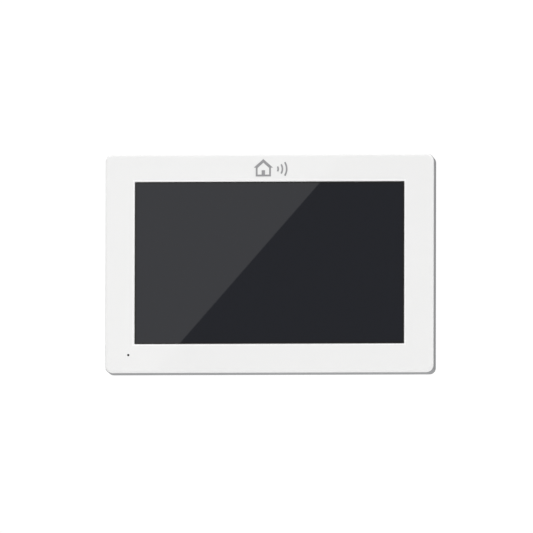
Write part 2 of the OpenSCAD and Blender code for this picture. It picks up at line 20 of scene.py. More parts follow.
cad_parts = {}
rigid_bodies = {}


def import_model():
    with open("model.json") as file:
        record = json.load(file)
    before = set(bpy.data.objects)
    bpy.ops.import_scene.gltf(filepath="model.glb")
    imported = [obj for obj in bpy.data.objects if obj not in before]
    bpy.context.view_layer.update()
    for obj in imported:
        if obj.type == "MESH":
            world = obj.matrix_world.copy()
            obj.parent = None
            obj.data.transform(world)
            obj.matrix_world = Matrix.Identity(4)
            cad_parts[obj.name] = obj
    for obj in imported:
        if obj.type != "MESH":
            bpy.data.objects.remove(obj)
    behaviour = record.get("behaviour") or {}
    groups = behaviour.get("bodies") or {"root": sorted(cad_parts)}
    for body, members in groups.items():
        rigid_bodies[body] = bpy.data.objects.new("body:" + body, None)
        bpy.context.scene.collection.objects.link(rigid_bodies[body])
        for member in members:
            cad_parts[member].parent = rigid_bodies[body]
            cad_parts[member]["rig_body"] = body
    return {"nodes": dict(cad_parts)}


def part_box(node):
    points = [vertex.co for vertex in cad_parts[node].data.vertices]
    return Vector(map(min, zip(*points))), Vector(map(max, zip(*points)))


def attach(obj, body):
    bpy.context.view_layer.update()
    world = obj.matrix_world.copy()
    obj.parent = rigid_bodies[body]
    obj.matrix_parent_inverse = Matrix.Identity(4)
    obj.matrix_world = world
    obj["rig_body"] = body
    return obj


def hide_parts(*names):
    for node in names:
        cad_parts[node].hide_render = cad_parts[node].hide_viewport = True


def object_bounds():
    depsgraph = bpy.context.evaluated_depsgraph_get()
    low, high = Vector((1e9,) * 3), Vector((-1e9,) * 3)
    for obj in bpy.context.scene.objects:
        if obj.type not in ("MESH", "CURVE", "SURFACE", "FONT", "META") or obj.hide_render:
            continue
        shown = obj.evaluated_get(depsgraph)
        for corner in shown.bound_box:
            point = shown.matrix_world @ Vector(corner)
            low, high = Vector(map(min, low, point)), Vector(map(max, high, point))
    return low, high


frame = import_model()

MM = 0.001
MICROMETRE = 1e-6
scene = bpy.context.scene
nodes = frame["nodes"]
cad_box = [Vector(corner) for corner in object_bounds()]
print("CAD box in mm:", [round(v / MM, 2) for corner in cad_box for v in corner])

# %% [markdown]
# ## The measures that the looks depend on
#
# Everything below asks the frame where things are. The camera looks at the
# cover's front face, and the long reflection on the glass is placed against the
# window.

# %% Where the front is
cover_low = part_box("front_cover")[0]
glass_low, glass_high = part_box("touch_glass")
window_width = 152.8 * MM
window_height = 92 * MM
window_z = (glass_low.z + glass_high.z) / 2
front_y = cover_low.y
glass_y = glass_low.y
print("front face at", round(front_y / MM, 2), "mm, glass at", round(glass_y / MM, 2), "mm")

# %% [markdown]
# ## The camera
#
# A flat panel is viewed from far away with a very long lens, so that its edges
# stay parallel. The camera stands a few degrees to the right of the panel and
# below it, which is why a thin strip of the grey housing shows along the right
# and bottom edges only. Such a view also shears a rectangle very slightly, and
# a small roll shares the shear between the upright and the level edges.

# %% Place the camera
def add_object(name, data):
    """A new object in the scene."""
    made = bpy.data.objects.new(name, data)
    scene.collection.objects.link(made)
    return made


camera_distance = 12.0
camera_right = math.radians(4.4)
camera_below = math.radians(4.5)
camera_roll = math.radians(0.15)
frame_width = 301.1 * MM

aim = Vector((-1.58 * MM, front_y, -1.8 * MM))
camera_place = aim + camera_distance * Vector((
    math.sin(camera_right) * math.cos(camera_below),
    -math.cos(camera_right) * math.cos(camera_below),
    -math.sin(camera_below),
))
camera_data = bpy.data.cameras.new("catalogue_camera")
camera_data.sensor_width = 36
camera_data.lens = camera_data.sensor_width * camera_distance / frame_width
camera_data.clip_end = 200
camera = add_object("catalogue_camera", camera_data)
look = (aim - camera_place).to_track_quat("-Z", "Y").to_matrix()
camera.matrix_world = Matrix.Translation(camera_place) @ (
    look @ Matrix.Rotation(camera_roll, 3, "Z")).to_4x4()
scene.camera = camera
scene.view_settings.view_transform = "Standard"
print("lens", round(camera_data.lens), "mm at", camera_distance, "m")

# %% [markdown]
# ## A small language for node trees
#
# Shader and geometry trees are both made of nodes, settings and links. One
# helper that places a node, sets its properties and fills or links its inputs
# keeps the later trees short. A few more are built on it: sums, ranges and
# mixes, and tests of where a point lies on the piece.

# %% Helpers for every node tree
def put(tree, kind, sockets=None, **settings):
    """Adds a node. A socket's value may be plain, or another node's output."""
    node = tree.nodes.new(kind)
    for name, value in settings.items():
        setattr(node, name, value)
    for name, value in (sockets or {}).items():
        if isinstance(value, bpy.types.NodeSocket):
            tree.links.new(value, node.inputs[name])
        else:
            node.inputs[name].default_value = value
    return node


def math_node(tree, operation, a, b=0.0, c=0.0, clamp=False):
    """One Math node, and its output."""
    node = put(tree, "ShaderNodeMath", {0: a, 1: b, 2: c}, operation=operation, use_clamp=clamp)
    return node.outputs[0]


def times(tree, a, b, clamp=False):
    """A product of two numbers or outputs."""
    return math_node(tree, "MULTIPLY", a, b, clamp=clamp)


def ramp_range(tree, value, low, high, to_low=0.0, to_high=1.0):
    """A clamped Map Range, and its output."""
    node = put(tree, "ShaderNodeMapRange", {
        "Value": value, "From Min": low, "From Max": high,
        "To Min": to_low, "To Max": to_high})
    return node.outputs["Result"]


def mix_colour(tree, factor, a, b):
    """A colour mix, and its output."""
    node = put(tree, "ShaderNodeMix", {"Factor": factor}, data_type="RGBA")
    for socket, value in ((node.inputs[6], a), (node.inputs[7], b)):
        if isinstance(value, bpy.types.NodeSocket):
            tree.links.new(value, socket)
        else:
            socket.default_value = (*value, 1)
    return node.outputs[2]


def object_place(tree):
    """The piece's own coordinates, in metres."""
    return put(tree, "ShaderNodeTexCoord").outputs["Object"]


def place_xyz(tree):
    """The three parts of the piece's own coordinates."""
    return put(tree, "ShaderNodeSeparateXYZ", {0: object_place(tree)}).outputs


def in_rectangle(tree, centre, half_width, half_height):
    """1 inside an upright rectangle about a centre, seen from the front."""
    x, y, z = place_xyz(tree)
    from_x = math_node(tree, "ABSOLUTE", math_node(tree, "SUBTRACT", x, centre.x))
    from_z = math_node(tree, "ABSOLUTE", math_node(tree, "SUBTRACT", z, centre.z))
    return times(tree, math_node(tree, "LESS_THAN", from_x, half_width),
                 math_node(tree, "LESS_THAN", from_z, half_height))


def in_window(tree, margin):
    """1 inside the window's outline grown by a margin."""
    return in_rectangle(tree, Vector((0, 0, window_z)),
                        window_width / 2 + margin, window_height / 2 + margin)


print("helpers ready")

# %% [markdown]
# ## The studio
#
# The backdrop is pure white, but a glossy black screen would mirror it and turn
# grey. So the world is white only to the camera. To everything else it is a
# studio dome: bright overhead, and dim near the horizon, where the screen's
# reflection looks.

# %% The studio dome
world = bpy.data.worlds.new("studio")
scene.world = world
world.use_nodes = True
tree = world.node_tree
tree.nodes.clear()
HORIZON_LIGHT = 0.4
CEILING_LIGHT = 1.55
direction = put(tree, "ShaderNodeTexCoord").outputs["Generated"]
height = put(tree, "ShaderNodeSeparateXYZ", {0: direction}).outputs["Z"]
dome = ramp_range(tree, height, 0.3, 1.0, HORIZON_LIGHT, CEILING_LIGHT)
studio_light = put(tree, "ShaderNodeBackground", {"Color": (1, 1, 1, 1), "Strength": dome})
backdrop = put(tree, "ShaderNodeBackground", {"Color": (1, 1, 1, 1), "Strength": 1.02})
seen = put(tree, "ShaderNodeLightPath").outputs["Is Camera Ray"]
both = put(tree, "ShaderNodeMixShader", {
    0: seen, 1: studio_light.outputs[0], 2: backdrop.outputs[0]})
put(tree, "ShaderNodeOutputWorld", {"Surface": both.outputs[0]})
print("dome light:", HORIZON_LIGHT, "to", CEILING_LIGHT)

# %% [markdown]
# ## The floor
#
# The floor is plain and pale, as far below as a hall floor is. Its light from
# below is what shows the housing's underside. It is one-sided, so that a camera
# lower than the floor still sees through it.

# %% The floor
def mesh_object(name, points, faces=()):
    """An object with the given points and faces."""
    mesh = bpy.data.meshes.new(name)
    mesh.from_pydata([tuple(point) for point in points], [], list(faces))
    return add_object(name, mesh)


ONE_FACE = [(0, 1, 2, 3)]
FLOOR_DROP = 1.2
FLOOR_REACH = 90
floor_z = cad_box[0].z - FLOOR_DROP
floor = mesh_object("floor", [
    (x * FLOOR_REACH, y * FLOOR_REACH, floor_z)
    for x, y in ((-1, -1), (1, -1), (1, 1), (-1, 1))], ONE_FACE)
paint = bpy.data.materials.new("pale_floor")
paint.use_nodes = True
tree = paint.node_tree
tree.nodes.clear()
pale = put(tree, "ShaderNodeBsdfDiffuse", {"Color": (0.76, 0.76, 0.76, 1)})
clear = put(tree, "ShaderNodeBsdfTransparent")
behind = put(tree, "ShaderNodeNewGeometry").outputs["Backfacing"]
seen = put(tree, "ShaderNodeLightPath").outputs["Is Camera Ray"]
from_below = times(tree, behind, seen)
both = put(tree, "ShaderNodeMixShader", {
    0: from_below, 1: pale.outputs[0], 2: clear.outputs[0]})
put(tree, "ShaderNodeOutputMaterial", {"Surface": both.outputs[0]})
floor.data.materials.append(paint)
print("floor", round(-floor_z, 2), "m below the bracket's centre")

# %% [markdown]
# ## Softboxes
#
# Four large, weak area lights give the panel its shape: one from the upper
# left, one from the right, one low in front and one behind for the bracket.
# None stands where the camera would see its mirror image in the screen.

# %% Lights
def softbox(name, place, size, power):
    """A square area light that faces the monitor."""
    data = bpy.data.lights.new(name, "AREA")
    data.shape = "SQUARE"
    data.size = size
    data.energy = power
    light = add_object(name, data)
    place = Vector(place)
    turn = (-place).to_track_quat("-Z", "Y").to_matrix().to_4x4()
    light.matrix_world = Matrix.Translation(place) @ turn
    light.visible_camera = False


softbox("left_softbox", (-1.3, -1.2, 1.0), 0.9, 7.9)
softbox("right_softbox", (1.6, -0.9, 0.3), 0.9, 5.2)
softbox("low_softbox", (0.4, -0.8, -0.95), 0.8, 2.0)
softbox("rear_softbox", (-0.9, 1.5, 0.9), 0.9, 4.6)

# %% [markdown]
# ## The long reflection on the glass
#
# A flat screen mirrors what stands in front of it, and a white card with one
# straight edge gives the diagonal band that makes glass read as glass. To place
# it, rays from the camera are mirrored at the two points where the band's edge
# crosses the top and the bottom of the window. The card's edge runs through the
# places where they meet its plane.

# %% The glare card
CARD_DISTANCE = 1.0
CARD_REACH = 1.6
CARD_LIGHT = 1.08
glare_at_top = 0.69
glare_at_bottom = 0.165


def mirrored(share, z):
    """Where the ray reflected at a place on the glass meets the card's plane."""
    spot = Vector(((share - 0.5) * window_width, glass_y, z))
    ray = (spot - camera_place).normalized()
    ray.y = -ray.y
    return spot + ray * ((-CARD_DISTANCE - spot.y) / ray.y)


top_spot = mirrored(glare_at_top, window_z + window_height / 2)
bottom_spot = mirrored(glare_at_bottom, window_z - window_height / 2)
along = (top_spot - bottom_spot).normalized()
sideways = Vector((-along.z, 0, along.x))
card = mesh_object("glare_card", [
    bottom_spot - along * CARD_REACH,
    bottom_spot - along * CARD_REACH + sideways * CARD_REACH,
    top_spot + along * CARD_REACH + sideways * CARD_REACH,
    top_spot + along * CARD_REACH,
], ONE_FACE)
glow = bpy.data.materials.new("card_glow")
glow.use_nodes = True
tree = glow.node_tree
tree.nodes.clear()
light = put(tree, "ShaderNodeEmission", {"Color": (1, 1, 1, 1), "Strength": CARD_LIGHT})
put(tree, "ShaderNodeOutputMaterial", {"Surface": light.outputs[0]})
card.data.materials.append(glow)
card.visible_camera = False
card.visible_diffuse = False
card.visible_shadow = False
print("card edge from", [round(v, 3) for v in bottom_spot], "to", [round(v, 3) for v in top_spot])

# %% [markdown]
# ## Shader groups
#
# Several finishes share the same effects, so each effect is a group with named
# inputs, built once and placed in every material that needs it. The first one,
# **surface_grain**, gives a fine grain and soft patches from two noises in the
# piece's own coordinates.

# %% The grain of a surface
def new_group(name, inputs, outputs):
    """An empty shader group with float inputs {name: default} and float outputs."""
    group = bpy.data.node_groups.new(name, "ShaderNodeTree")
    for socket, value in inputs.items():
        made = group.interface.new_socket(socket, in_out="INPUT", socket_type="NodeSocketFloat")
        made.default_value = value
    for socket in outputs:
        group.interface.new_socket(socket, in_out="OUTPUT", socket_type="NodeSocketFloat")
    return group, put(group, "NodeGroupInput").outputs, put(group, "NodeGroupOutput").inputs


def noise(tree, vector, scale, detail=2.0, roughness=0.5):
    """A 3D noise's value, from 0 to 1."""
    node = put(tree, "ShaderNodeTexNoise", {
        "Vector": vector, "Scale": scale, "Detail": detail, "Roughness": roughness})
    return node.outputs["Fac"]


def use(tree, group, **values):
    """Places a group, with inputs given as grain_size=..., and returns its outputs."""
    node = put(tree, "ShaderNodeGroup", node_tree=bpy.data.node_groups[group])
    for name, value in values.items():
        node.inputs[name.replace("_", " ").title()].default_value = value
    return node.outputs


tree, given, wanted = new_group(
    "surface_grain", {"Grain Size": 0.0004, "Patch Size": 0.02}, ["Grain", "Patches"])
place = object_place(tree)
fine = noise(tree, place, math_node(tree, "DIVIDE", 1.0, given["Grain Size"]), 3.0)
broad = noise(tree, place, math_node(tree, "DIVIDE", 1.0, given["Patch Size"]))
tree.links.new(fine, wanted["Grain"])
tree.links.new(ramp_range(tree, broad, 0.3, 0.7), wanted["Patches"])
print("surface_grain:", len(tree.nodes), "nodes")

# %% [markdown]
# ## Worn and highlighted edges
#
# Hands and tools polish an outer edge first, which is wear. An edge that is
# lighter evenly all round, as on the white cover, is a painted highlight. This
# group finds such edges by comparing the true normal with one that is rounded
# over a small radius, and breaks the line up with noise, unless its evenness is 1.

# %% Edge wear and painted edge highlight
tree, given, wanted = new_group("edge_rub", {
    "Radius": 0.0005, "Breakup Size": 0.003, "Amount": 0.5, "Evenness": 0.0}, ["Edge"])
rounded = put(tree, "ShaderNodeBevel", {"Radius": given["Radius"]}, samples=4)
true_normal = put(tree, "ShaderNodeNewGeometry").outputs["Normal"]
agree = put(tree, "ShaderNodeVectorMath", {0: rounded.outputs[0], 1: true_normal},
            operation="DOT_PRODUCT").outputs["Value"]
bent = ramp_range(tree, agree, 0.995, 0.86)
breakup_scale = math_node(tree, "DIVIDE", 1.0, given["Breakup Size"])
broken = noise(tree, object_place(tree), breakup_scale, 3.0)
patchy = math_node(tree, "MAXIMUM", ramp_range(tree, broken, 0.4, 0.65),
                   given["Evenness"])
edge = times(tree, times(tree, bent, patchy), given["Amount"], clamp=True)
tree.links.new(edge, wanted["Edge"])
print("edge_rub:", len(tree.nodes), "nodes")

# %% [markdown]
# ## Dust and brushing
#
# **settled_dust** lies where a surface looks up. **brush_lines** stretches a
# noise along one axis, as rolling and brushing do.

# %% Dust and brush lines
tree, given, wanted = new_group(
    "settled_dust", {"Amount": 0.2, "Patch Size": 0.01}, ["Dust"])
facing = put(tree, "ShaderNodeSeparateXYZ",
             {0: put(tree, "ShaderNodeNewGeometry").outputs["Normal"]}).outputs["Z"]
upward = ramp_range(tree, facing, 0.4, 1.0)
specks_scale = math_node(tree, "DIVIDE", 1.0, given["Patch Size"])
specks = noise(tree, object_place(tree), specks_scale, 6.0, 0.7)
lying = times(tree, upward, ramp_range(tree, specks, 0.4, 0.7, 0.2, 1.0))
tree.links.new(times(tree, lying, given["Amount"], clamp=True), wanted["Dust"])

tree, given, wanted = new_group(
    "brush_lines", {"Line Width": 0.0002, "Stretch": 30.0}, ["Lines"])
x, y, z = place_xyz(tree)
squeezed = math_node(tree, "DIVIDE", x, given["Stretch"])
pulled = put(tree, "ShaderNodeCombineXYZ", {0: squeezed, 1: y, 2: z}).outputs[0]
lines = noise(tree, pulled, math_node(tree, "DIVIDE", 1.0, given["Line Width"]))
tree.links.new(lines, wanted["Lines"])
print("groups:", [g.name for g in bpy.data.node_groups])

# %% [markdown]
# ## Moulded plastics
#
# Every moulded piece is the same idea with other values: a colour that drifts
# by a few per cent in soft patches, a roughness that follows them, the mould's
# grain in the bump, edges that are a little lighter, as wear where they are
# handled and as a painted highlight on the white cover, and some dust where a
# surface looks up. One function makes them all, on top of four small ones that
# metals use too.

# %% Begin a finish
finishes = {}


def new_finish(name, colour, roughness, metallic=0.0, specular=0.5, coat=0.0):
    """A material with one Principled shader. Returns its tree and its shader."""
    material = bpy.data.materials.new(name)
    material.use_nodes = True
    tree = material.node_tree
    tree.nodes.clear()
    shader = put(tree, "ShaderNodeBsdfPrincipled", {
        "Base Color": (*colour, 1), "Roughness": roughness, "Metallic": metallic,
        "Specular IOR Level": specular, "Coat Weight": coat, "Coat Roughness": 0.08})
    put(tree, "ShaderNodeOutputMaterial", {"Surface": shader.outputs[0]})
    finishes[name] = material
    return tree, shader


def feed(shader, **outputs):
    """Links outputs to the shader's sockets, given as base_color=... and so on."""
    for name, output in outputs.items():
        shader.id_data.links.new(output, shader.inputs[name.replace("_", " ").title()])


def scaled(colour, by):
    """The colour made lighter or darker."""
    return tuple(min(1.0, c * by) for c in colour)


def bump(shader, height, depth):
    """Feeds a height into the shader's normal. Depth is in micrometres."""
    node = put(shader.id_data, "ShaderNodeBump", {
        "Height": height, "Distance": depth * MICROMETRE, "Strength": 1.0})
    feed(shader, normal=node.outputs[0])


print("ready to mix finishes")

# %% The moulded finish
def moulded(name, colour, roughness, grain=0.4, depth=4, patch=18, drift=0.03,
            wear_and_highlight=0.0, evenness=0.0, dust=0.0, specular=0.5):
    """Moulded plastic or rubber. Grain and patch are in mm, depth in micrometres."""
    tree, shader = new_finish(name, colour, roughness, specular=specular)
    skin = use(tree, "surface_grain", grain_size=grain * MM, patch_size=patch * MM)
    shade = mix_colour(tree, skin["Patches"], scaled(colour, 1 - drift), scaled(colour, 1 + drift))
    # Lighter edges: wear, and on the white cover a painted highlight.
    if wear_and_highlight:
        edge = use(tree, "edge_rub", radius=0.5 * MM, breakup_size=4 * MM, amount=wear_and_highlight,
                   evenness=evenness)["Edge"]
        shade = mix_colour(tree, edge, shade, scaled(colour, 1.5))
    if dust:
        film = use(tree, "settled_dust", amount=dust, patch_size=7 * MM)["Dust"]
        shade = mix_colour(tree, film, shade, (0.55, 0.54, 0.52))
    uneven = ramp_range(tree, skin["Patches"], 0.0, 1.0, roughness * 0.9, roughness * 1.1)
    feed(shader, base_color=shade, roughness=uneven)
    bump(shader, skin["Grain"], depth)
    return tree, shader


print("moulded() is ready")

# %% [markdown]
# ## The white cover
#
# The cover is a smooth, bright white with hardly any grain, and all its edges
# are evenly lighter, which is a painted highlight. The slope round the window
# has a lighter colour too, a painted highlight that shows as a thin bright line.
# It is found by its place: all that lies inside the window's outline, grown by a
# little more than the slope is wide.

# %% Mix the cover's white
COVER = (0.88, 0.88, 0.876)
RIM_HIGHLIGHT = (0.99, 0.99, 0.99)
RIM_WIDTH = 0.95 * MM
# The cover's evenly lighter edges are a painted highlight.
tree, shader = moulded("cover_white", COVER, 0.03, grain=1.6, depth=0.08, patch=30,
                       drift=0.004, wear_and_highlight=0.6, evenness=1.0, specular=0.32)
plain = shader.inputs["Base Color"].links[0].from_socket
# The lighter band round the window is a painted highlight.
highlight_band = in_window(tree, RIM_WIDTH)
feed(shader, base_color=mix_colour(tree, highlight_band, plain, RIM_HIGHLIGHT))
print("cover_white:", len(tree.nodes), "nodes")

# %% [markdown]
# ## The other mouldings
#
# The housing is a mid grey with the fine matt grain of a sparked mould. The
# headers are nylon in its natural ivory, the switches and the speaker's basket
# are black, and the pads, the sleeve, the chips and the cone are duller.

# %% Mix the other mouldings
moulded("housing_grey", (0.25, 0.254, 0.262), 0.46, grain=0.34, depth=24, patch=22,
        drift=0.025, wear_and_highlight=0.25, dust=0.1)
moulded("badge_ink", (0.3, 0.3, 0.308), 0.42, grain=0.15, depth=1.5, patch=3, drift=0.05)
moulded("ivory_nylon", (0.8, 0.755, 0.64), 0.42, grain=0.25, depth=3, patch=4, drift=0.04)
moulded("switch_black", (0.03, 0.03, 0.032), 0.38, grain=0.2, depth=3, patch=3,
        drift=0.1, wear_and_highlight=0.2)
moulded("plunger_white", (0.8, 0.8, 0.78), 0.35, grain=0.2, depth=2, patch=2, drift=0.03)
moulded("light_guide_white", (0.85, 0.85, 0.84), 0.3, grain=0.5, depth=2, patch=12, drift=0.02)
moulded("pad_rubber", (0.035, 0.035, 0.036), 0.72, grain=0.18, depth=12, patch=4,
        drift=0.2, dust=0.25)
moulded("boot_rubber_and_hole_shade", (0.03, 0.03, 0.03), 0.66, grain=0.2, depth=8, patch=2, drift=0.15)
moulded("chip_epoxy", (0.022, 0.022, 0.024), 0.5, grain=0.09, depth=4, patch=5, drift=0.15)
moulded("pressed_ferrite", (0.075, 0.075, 0.08), 0.62, grain=0.14, depth=10, patch=3, drift=0.2)
moulded("cone_paper", (0.045, 0.045, 0.046), 0.82, grain=0.5, depth=22, patch=5, drift=0.25)
moulded("basket_black", (0.03, 0.03, 0.031), 0.34, grain=0.7, depth=3, patch=6,
        drift=0.1, wear_and_highlight=0.4)
moulded("coax_jacket", (0.022, 0.022, 0.022), 0.32, grain=0.2, depth=2, patch=2, drift=0.1)
print("moulded finishes:", sorted(finishes))

# %% [markdown]
# ## Rolled and turned metals
#
# The stamped and tinned pieces show fine rolling lines, which are a stretched
# noise in colour, roughness and bump. Turned screws have the same lines, only
# shorter.

# %% The rolled finish
STREAK_SPAN = 0.12
PATCH_SPAN = 0.08


def rolled_metal(name, colour, roughness, line=0.12, stretch=40, wear_and_highlight=0.5):
    """Rolled, stamped or turned metal, with lines of a width in mm."""
    tree, shader = new_finish(name, colour, roughness, metallic=1.0)
    lines = use(tree, "brush_lines", line_width=line * MM, stretch=stretch)["Lines"]
    skin = use(tree, "surface_grain", grain_size=0.5 * MM, patch_size=9 * MM)
    shade = mix_colour(tree, lines, scaled(colour, 0.9), scaled(colour, 1.06))
    edge = use(tree, "edge_rub", radius=0.3 * MM, breakup_size=2 * MM, amount=wear_and_highlight)["Edge"]
    shade = mix_colour(tree, edge, shade, scaled(colour, 1.25))
    streaks = math_node(tree, "MULTIPLY_ADD", lines, STREAK_SPAN, roughness - STREAK_SPAN / 2)
    patches = math_node(tree, "MULTIPLY_ADD", skin["Patches"], PATCH_SPAN, streaks)
    feed(shader, base_color=shade, roughness=patches)
    bump(shader, lines, 1.2)


rolled_metal("stamped_steel", (0.62, 0.63, 0.64), 0.34)
rolled_metal("tinned_can", (0.72, 0.72, 0.7), 0.26, line=0.2, stretch=8)
rolled_metal("screw_zinc", (0.7, 0.705, 0.715), 0.3, line=0.08, stretch=3)
rolled_metal("satin_aluminium", (0.8, 0.8, 0.81), 0.28, line=0.1, stretch=12)
rolled_metal("tin_plate", (0.78, 0.76, 0.7), 0.22, line=0.06, stretch=6, wear_and_highlight=0.3)
rolled_metal("magnet_yoke", (0.56, 0.565, 0.575), 0.32, line=0.1, stretch=4)
print("rolled metals added, total", len(finishes))

# %% [markdown]
# ## Galvanised steel
#
# The bracket's steel is galvanised: crystals of zinc a few millimetres across,
# each with its own shade and sheen. A Voronoi texture gives such cells, and a
# little noise added to its coordinates bends their straight borders.

# %% Mix the galvanised steel
ZINC = (0.6, 0.612, 0.625)
tree, shader = new_finish("galvanised_steel", ZINC, 0.38, metallic=1.0)
place = object_place(tree)
wander = put(tree, "ShaderNodeTexNoise", {"Vector": place, "Scale": 420.0, "Detail": 2.0})
bent_place = put(tree, "ShaderNodeVectorMath", {
    0: wander.outputs["Color"], 1: (0.0014, 0.0014, 0.0014), 2: place},
    operation="MULTIPLY_ADD").outputs[0]
spangle = put(tree, "ShaderNodeTexVoronoi", {"Vector": bent_place, "Scale": 380.0})
cell = put(tree, "ShaderNodeSeparateColor", {0: spangle.outputs["Color"]}).outputs
shade = mix_colour(tree, cell[0], scaled(ZINC, 0.9), scaled(ZINC, 1.07))
edge = use(tree, "edge_rub", radius=0.4 * MM, breakup_size=3 * MM, amount=0.6)["Edge"]
shade = mix_colour(tree, edge, shade, scaled(ZINC, 1.35))
feed(shader, base_color=shade, roughness=ramp_range(tree, cell[1], 0.0, 1.0, 0.36, 0.48))
skin = use(tree, "surface_grain", grain_size=0.5 * MM, patch_size=9 * MM)
bump(shader, skin["Grain"], 5)
print("galvanised_steel:", len(tree.nodes), "nodes")

# %% [markdown]
# ## The screen
#
# An unlit display behind cover glass is almost black with a trace of blue, and
# what shows on it is reflection. So its colour is very dark, its surface very
# smooth, and wide wiping marks raise the roughness slightly. Round the active
# area the glass is printed black from behind, and this slightly deeper border
# is also painted shade along the window's edge.

# %% Cover glass
PRINT_AND_SHADE_WIDTH = 1.1 * MM
UNLIT = (0.0042, 0.0053, 0.0098)
PRINT_AND_SHADE = (0.0012, 0.0012, 0.0014)

tree, shader = new_finish("cover_glass", UNLIT, 0.01)
# The darker border is the glass's black print, and also painted shade along the window's edge.
active = in_window(tree, -PRINT_AND_SHADE_WIDTH)
feed(shader, base_color=mix_colour(tree, active, PRINT_AND_SHADE, UNLIT))
swirl = put(tree, "ShaderNodeTexNoise", {
    "Vector": object_place(tree), "Scale": 26.0, "Detail": 5.0, "Roughness": 0.6,
    "Distortion": 1.2}).outputs["Fac"]
wiped = ramp_range(tree, swirl, 0.48, 0.72, 0.008, 0.013)
feed(shader, roughness=wiped)
print("cover_glass:", len(tree.nodes), "nodes")

# %% [markdown]
# ## Behind the glass
#
# The display's polariser is a satin black. The touch sensor's film carries a
# grid of electrodes that can just be made out. A function that draws stripes
# across one coordinate makes the grid, and later the ribbons' conductors and
# the label's rows.

# %% Polariser and sensor film
tree, shader = new_finish("display_polariser", (0.004, 0.004, 0.006), 0.12)
skin = use(tree, "surface_grain", grain_size=0.1 * MM, patch_size=12 * MM)
feed(shader, roughness=ramp_range(tree, skin["Patches"], 0.0, 1.0, 0.1, 0.16))
bump(shader, skin["Grain"], 0.4)


def stripes(tree, along, pitch, share):
    """1 on stripes of the given share of the pitch, across one coordinate."""
    phase = math_node(tree, "FRACT", math_node(tree, "DIVIDE", along, pitch))
    return math_node(tree, "LESS_THAN", phase, share)


ELECTRODE_PITCH = 5 * MM
LINE_SHARE = 0.04
FILM = (0.06, 0.06, 0.068)
tree, shader = new_finish("sensor_film", FILM, 0.16)
x, y, z = place_xyz(tree)
grid = math_node(tree, "MAXIMUM", stripes(tree, x, ELECTRODE_PITCH, LINE_SHARE),
                 stripes(tree, z, ELECTRODE_PITCH, LINE_SHARE))
feed(shader, base_color=mix_colour(tree, grid, FILM, (0.09, 0.085, 0.08)))
bump(shader, grid, 1)
print("screen finishes added, total", len(finishes))

# %% [markdown]
# ## The circuit board
#
# Part of the board shows through the bracket. Its green solder resist has
# tracks under it and plated holes through it. Long thin bricks give tracks that
# run side by side, square Voronoi zones say where the board is routed, and the
# middles of round cells are the holes.

# %% Solder resist
RESIST = (0.012, 0.11, 0.045)
tree, shader = new_finish("solder_resist", RESIST, 0.22, coat=0.3)
place = object_place(tree)
flat_place = put(tree, "ShaderNodeMapping", {
    "Vector": place, "Rotation": (math.radians(90), 0, 0)}).outputs[0]
bus = put(tree, "ShaderNodeTexBrick", {
    "Vector": flat_place, "Scale": 1.0, "Mortar Size": 0.16 * MM, "Mortar Smooth": 0.1,
    "Brick Width": 14 * MM, "Row Height": 0.8 * MM}, offset=0.37, squash=0.7).outputs["Fac"]
zones = put(tree, "ShaderNodeTexVoronoi", {
    "Vector": flat_place, "Scale": 130.0}, distance="CHEBYCHEV").outputs["Color"]
routed = math_node(tree, "GREATER_THAN", put(
    tree, "ShaderNodeSeparateColor", {0: zones}).outputs[0], 0.45)
tracks = times(tree, bus, routed)
holes = put(tree, "ShaderNodeTexVoronoi", {"Vector": flat_place, "Scale": 240.0}).outputs["Distance"]
hole = ramp_range(tree, holes, 0.1, 0.07)
shade = mix_colour(tree, tracks, RESIST, (0.03, 0.2, 0.085))
shade = mix_colour(tree, hole, shade, (0.6, 0.56, 0.44))
feed(shader, base_color=shade, metallic=hole)
bump(shader, tracks, 12)
print("solder_resist:", len(tree.nodes), "nodes")

# %% [markdown]
# ## Ribbons and leads
#
# A ribbon is amber film with copper conductors side by side. Each insulated
# lead gets its colour by island, so that a pair comes out red and black.

# %% Ribbon film and vinyl
def ribbon_film(name, pitch):
    """Amber film with copper conductors that run along z, pitch in mm."""
    tree, shader = new_finish(name, (0.62, 0.33, 0.06), 0.25)
    lines = stripes(tree, place_xyz(tree)["X"], pitch * MM, 0.5)
    feed(shader, base_color=mix_colour(tree, lines, (0.42, 0.17, 0.02), (0.66, 0.34, 0.07)))
    bump(shader, lines, 8)


ribbon_film("display_ribbon", 0.5)
ribbon_film("touch_ribbon", 1.0)
ribbon_film("aerial_film", 5.0)

tree, shader = new_finish("lead_vinyl", (0.4, 0.03, 0.02), 0.35)
island = put(tree, "ShaderNodeNewGeometry").outputs["Random Per Island"]
red = math_node(tree, "GREATER_THAN", island, 0.5)
feed(shader, base_color=mix_colour(tree, red, (0.02, 0.02, 0.02), (0.45, 0.03, 0.02)))
skin = use(tree, "surface_grain", grain_size=0.3 * MM, patch_size=5 * MM)
bump(shader, skin["Grain"], 3)
print("ribbons and leads added, total", len(finishes))

# %% [markdown]
# ## Foam, felt and cloth
#
# Foam is a bed of tiny cells. The felt in front of the microphone is a tangle
# of fibres, which a rough noise is enough for. The speaker's cloth is a plain
# weave: two families of threads with round backs that cross each other.

# %% Foam, felt and weave
tree, shader = new_finish("black_foam", (0.022, 0.022, 0.022), 0.9, specular=0.25)
cells = put(tree, "ShaderNodeTexVoronoi", {
    "Vector": object_place(tree), "Scale": 3200.0}).outputs["Distance"]
feed(shader, base_color=mix_colour(tree, cells, (0.01, 0.01, 0.01), (0.04, 0.04, 0.04)))
bump(shader, cells, 60)

tree, shader = new_finish("black_felt", (0.012, 0.012, 0.012), 0.95, specular=0.2)
fluff = noise(tree, object_place(tree), 9000.0, 4.0, 0.7)
feed(shader, base_color=mix_colour(tree, fluff, (0.004, 0.004, 0.004), (0.022, 0.022, 0.022)))
bump(shader, fluff, 50)

